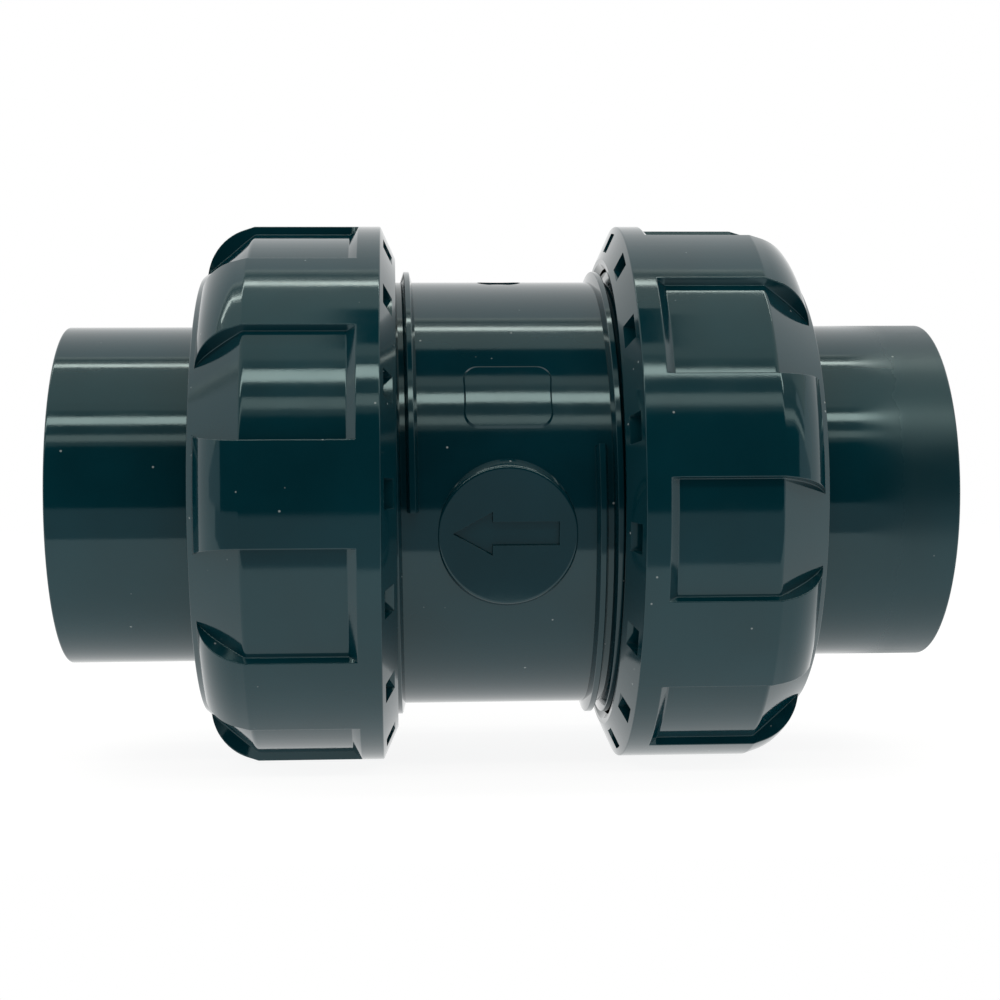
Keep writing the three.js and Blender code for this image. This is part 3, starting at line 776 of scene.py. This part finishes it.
place(valve_body(), "inlet", "valve_body", "valve_body", "body_pvc", shaded_body_look)
place(seat_ring(), "inlet", "valve_body", "seat_ring", "seal_rubber", rubber_look)
place(seat_carrier(), "inlet", "valve_body", "seat_carrier", "carrier_pvc", carrier_look)
carrier_seal_x = CARRIER_IN + sum(CARRIER_GROOVE) / 2
carrier_seal = o_ring("carrier_seal", carrier_seal_x, CARRIER_SEAL_R, CARRIER_SEAL_SECTION)
place(carrier_seal, "inlet", "valve_body", "carrier_o_ring", "seal_rubber", rubber_look)
place(ball(), "inlet", "ball", "ball", "ball_pvc", ball_look)
for end in ("inlet", "outlet"):
    seal = o_ring(f"{end}_face_seal", BODY_END - SEAL_SECTION / 2, SEAL_R, SEAL_SECTION)
    tail = end_connector(f"{end}_tail")
    nut = union_nut(f"{end}_nut_moulding", end)
    place(seal, end, "valve_body", f"{end}_face_o_ring", "seal_rubber", rubber_look)
    place(tail, end, f"{end}_end", f"{end}_end_connector", "end_pvc", end_look)
    place(nut, end, f"{end}_nut", f"{end}_union_nut", "nut_pvc", nut_look)


# ---------------------------------------------------------------- floor, light and camera

FLOOR_FRONT = -0.105
FLOOR_SHADED = (FLOOR_FRONT + 0.01, FLOOR_FRONT + 0.05)  # where its shade starts and is complete
FLOOR_REACH = 3
LENS = 67.53
CAMERA_PLACE = (-0.0192, -0.3579, -0.0015)
YAW, ROLL = math.radians(3.13), math.radians(-0.42)


def seen_directly(tree):
    """1 for rays from the camera and for those seen in a reflection or through glass."""
    path = tree.nodes.new("ShaderNodeLightPath")
    total = path.outputs["Is Camera Ray"]
    for name in ("Is Glossy Ray", "Is Transmission Ray"):
        node = tree.nodes.new("ShaderNodeMath")
        node.operation = "MAXIMUM"
        tree.links.new(total, node.inputs[0])
        tree.links.new(path.outputs[name], node.inputs[1])
        total = node.outputs[0]
    return total


def flat_card(name, corners, material):
    mesh = bpy.data.meshes.new(name)
    mesh.from_pydata(corners, [], [(0, 1, 2, 3)])
    made = bpy.data.objects.new(name, mesh)
    bpy.context.scene.collection.objects.link(made)
    mesh.materials.append(material)
    return made


def floor_look():
    n = Nodes("floor_look")
    shader = n.add("ShaderNodeBsdfPrincipled")
    shade = n.mix(n.noise(6, 3), (0.16, 0.16, 0.16, 1), (0.18, 0.18, 0.18, 1))
    split = n.add("ShaderNodeSeparateXYZ")
    n.link(n.coordinates, split.inputs[0])
    inward = n.ramp(split.outputs[1], *FLOOR_SHADED)
    n.link(n.mix(inward, (0.0, 0.0, 0.0, 1), shade), shader.inputs["Base Color"])
    shader.inputs["Roughness"].default_value = 0.9
    shader.inputs["Specular IOR Level"].default_value = 0.0
    shader.inputs["Emission Color"].default_value = (1, 1, 1, 1)
    glow = n.ramp(inward, 0, 1, 1.02, 0.9)
    share = n.math("MAXIMUM", seen_directly(n.tree), 0.8)
    n.link(n.math("MULTIPLY", share, glow), shader.inputs["Emission Strength"])
    n.link(shader.outputs["BSDF"], n.output.inputs["Surface"])
    return n.material


def glow_look(name, radiance, colour):
    n = Nodes(f"{name}_look")
    shader = n.add("ShaderNodeEmission")
    shader.inputs["Color"].default_value = colour
    shader.inputs["Strength"].default_value = radiance
    n.link(shader.outputs[0], n.output.inputs["Surface"])
    return n.material


floor_z = cad_box[0].z
floor_corners = [(-FLOOR_REACH, FLOOR_FRONT, floor_z), (FLOOR_REACH, FLOOR_FRONT, floor_z),
                 (FLOOR_REACH, FLOOR_REACH, floor_z), (-FLOOR_REACH, FLOOR_REACH, floor_z)]
flat_card("floor", floor_corners, floor_look())


def at(elevation, distance, x=0.0):
    """A place round the pipe's axis; the elevation goes from the side that faces -Y up over the top."""
    angle = math.radians(elevation)
    return (x, -distance * math.cos(angle), distance * math.sin(angle))


WARM = (1.0, 0.98, 0.90, 1.0)
COOL = (0.88, 0.95, 1.0, 1.0)
WIDEST_STRIP = 6  # degrees
CARD_SPAN = (-2.5, 2.5)
CARD_DISTANCE = 1.15
BACK_DISTANCE = 2.1
LAMP_DISTANCE = 2.0
LAMP_LENGTH = 3.6
FRONT_SPAN = (-1.58, 1.58)
DARK_SPAN = (-0.06, 0.19)
FAR = 8


def reflected_card(name, low, high, radiance, span=CARD_SPAN, distance=CARD_DISTANCE, colour=WARM):
    """A curved card round the pipe's axis, between two elevations, that only shows in reflections."""
    look = glow_look(name, radiance, colour)
    left, right = span
    strips = math.ceil((high - low) / WIDEST_STRIP)
    steps = np.linspace(low, high, strips + 1)
    for k, (a, b) in enumerate(zip(steps, steps[1:])):
        places = ((a, left), (a, right), (b, right), (b, left))
        corners = [at(elevation, distance, x) for elevation, x in places]
        card = flat_card(f"{name}_{k}", corners, look)
        card.visible_camera = False
        card.visible_diffuse = False
        card.visible_shadow = False


reflected_card("low_grey", -31, -9, 0.4, colour=COOL)
reflected_card("front_dark", -9, 32, 0.0, FRONT_SPAN)
reflected_card("front_left", -9, 32, 0.6, (-FAR, FRONT_SPAN[0]), colour=COOL)
reflected_card("front_right", -9, 32, 0.6, (FRONT_SPAN[1], FAR), colour=COOL)
reflected_card("front_edge", 32, 35, 0.4)
reflected_card("slit", 35, 39.5, 1.9)
reflected_card("below_front_strip", 39.5, 47, 0.25)
reflected_card("behind_front_strip", 46, 57, 0.35, distance=BACK_DISTANCE)
reflected_card("above_front_strip", 54.5, 57, 0.5)
reflected_card("bright_between", 57, 62.5, 0.85)
reflected_card("upper_dark", 62.5, 80.5, 0.0, DARK_SPAN)
reflected_card("upper_left", 62.5, 80.5, 0.9, (CARD_SPAN[0], DARK_SPAN[0]))
reflected_card("upper_right", 62.5, 80.5, 0.9, (DARK_SPAN[1], CARD_SPAN[1]))
reflected_card("before_top_strip", 80.5, 94.5, 0.9)
reflected_card("behind_top_strip", 92, 103, 0.9, distance=BACK_DISTANCE)
reflected_card("after_top_strip", 99.5, 101, 0.85)
reflected_card("thin_dark", 101, 102, 0.15)
reflected_card("after_thin_dark", 102, 104, 0.9)
reflected_card("thin_bright", 104, 105, 1.8)

STRIPS = (("strip_front", 49.9, 0.19, 6.5), ("strip_top", 96.2, 0.12, 8.0))
for name, elevation, width, radiance in STRIPS:
    lamp = bpy.data.lights.new(name, "AREA")
    lamp.color = WARM[:3]
    lamp.shape = "RECTANGLE"
    lamp.size, lamp.size_y = LAMP_LENGTH, width
    lamp.energy = radiance * math.pi * lamp.size * lamp.size_y
    holder = bpy.data.objects.new(name, lamp)
    holder.location = at(elevation, LAMP_DISTANCE)
    holder.rotation_mode = "QUATERNION"
    aim = Vector(holder.location).normalized()
    along = Vector((1, 0, 0))
    holder.rotation_quaternion = Matrix((along, aim.cross(along), aim)).transposed().to_quaternion()
    bpy.context.scene.collection.objects.link(holder)

# The world shows white, and lights what scatters light at a lower level.
world = bpy.data.worlds.new("studio")
bpy.context.scene.world = world
world.use_nodes = True
sky = world.node_tree
background = sky.nodes["Background"]
background.inputs["Color"].default_value = (1, 1, 1, 1)
level = sky.nodes.new("ShaderNodeMapRange")
sky.links.new(seen_directly(sky), level.inputs["Value"])
level.inputs["To Min"].default_value = 0.55
level.inputs["To Max"].default_value = 1.0
sky.links.new(level.outputs["Result"], background.inputs["Strength"])

camera = bpy.data.objects.new("camera", bpy.data.cameras.new("camera"))
camera.data.sensor_width = 36
camera.data.lens = LENS
camera.data.clip_start = 0.01
camera.location = CAMERA_PLACE
ahead = Vector((math.sin(YAW), math.cos(YAW), 0))
camera.rotation_mode = "QUATERNION"
from_front = ahead.to_track_quat("-Z", "Y")
camera.rotation_quaternion = from_front @ Matrix.Rotation(ROLL, 3, "Z").to_quaternion()
bpy.context.scene.collection.objects.link(camera)
bpy.context.scene.camera = camera
bpy.context.scene.view_settings.view_transform = "Standard"
